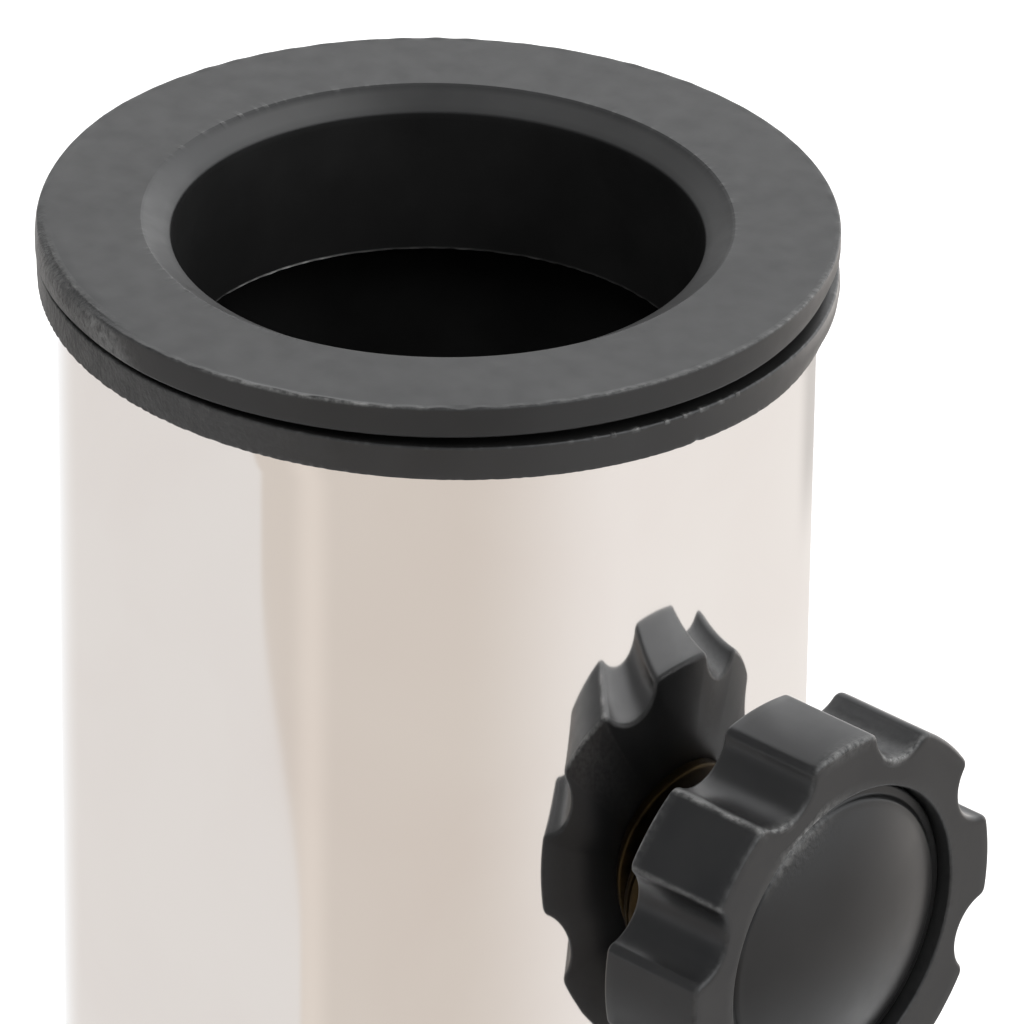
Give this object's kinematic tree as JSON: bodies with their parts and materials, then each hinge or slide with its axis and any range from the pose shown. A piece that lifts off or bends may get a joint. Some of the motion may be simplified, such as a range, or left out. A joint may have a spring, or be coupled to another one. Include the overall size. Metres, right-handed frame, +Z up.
{
  "type": "umbrella stand",
  "caption": "Free-standing parasol base: square granite slab, polished steel tube, nested black plastic pole reducers and a lobed side clamp knob.",
  "frame": {"origin": "centre of the footprint at floor level, on the tube's axis", "axes": "+Z up along the tube, +X along the clamp screw towards the knob, X and Y square with the slab's sides"},
  "size_m": [0.4, 0.4, 0.4],
  "materials": {
    "granite": "polished top and sides, dark grey speckle",
    "foot_rubber": "moulded, matte",
    "zinc_steel": "bright zinc plate",
    "dowel_nylon": "natural nylon",
    "gasket_rubber": "die-cut sheet",
    "plate_steel": "brushed, laser-cut edge",
    "weld_steel": "rippled bead, slight heat tint",
    "polished_steel": "mirror polished, slightly warm",
    "rest_plastic": "moulded",
    "yellow_zinc": "yellow passivated zinc, dulled",
    "cover_steel": "spun and polished",
    "ring_rubber": "moulded, satin",
    "outer_plastic": "moulded black, rough worn rim",
    "inner_plastic": "moulded dark grey, satin, glossier in the mouth's chamfer",
    "knob_plastic": "moulded black, fine texture, bright worn edges",
    "cap_plastic": "smooth satin gloss"
  },
  "bodies": {
    "base": {"slab": "granite", "feet": "foot_rubber", "foot_screws": "zinc_steel", "foot_dowels": "dowel_nylon", "stone_anchors": "zinc_steel", "flange_gasket": "gasket_rubber", "foot_flange": "plate_steel", "flange_bolts": "zinc_steel", "lock_washers": "zinc_steel", "flat_washers": "zinc_steel", "tube": "polished_steel", "tube_weld": "weld_steel", "pole_rest": "rest_plastic", "clamp_nut": "yellow_zinc"},
    "cover": {"cover_rosette": "cover_steel", "rosette_ring": "ring_rubber"},
    "outer_adapter": {"outer_reducer": "outer_plastic"},
    "inner_adapter": {"inner_reducer": "inner_plastic"},
    "clamp_carriage": {"clamp_washer": "yellow_zinc"},
    "knob": {"clamp_screw": "yellow_zinc", "knob_body": "knob_plastic", "knob_cap": "cap_plastic"}
  },
  "joints": [
    {"name": "cover_lift", "type": "slide", "parent": "base", "child": "cover", "axis": [0, 0, 1], "range_m": [0, 0.24]},
    {"name": "outer_reducer_lift", "type": "slide", "parent": "base", "child": "outer_adapter", "axis": [0, 0, 1], "range_m": [0, 0.045]},
    {"name": "inner_reducer_lift", "type": "slide", "parent": "outer_adapter", "child": "inner_adapter", "axis": [0, 0, 1], "range_m": [0, 0.03]},
    {"name": "clamp_travel", "type": "slide", "parent": "base", "child": "clamp_carriage", "axis": [1, 0, 0], "range_m": [-0.0016, 0.0061]},
    {"name": "clamp_turn", "type": "hinge", "parent": "clamp_carriage", "child": "knob", "pos_m": [0.0327, 0, 0.3543], "axis": [1, 0, 0], "range_deg": [-450, 1728]}
  ],
  "couplings": [
    {"joint": "clamp_travel", "follows": "clamp_turn", "m_per_rad": 0.00019894}
  ]
}
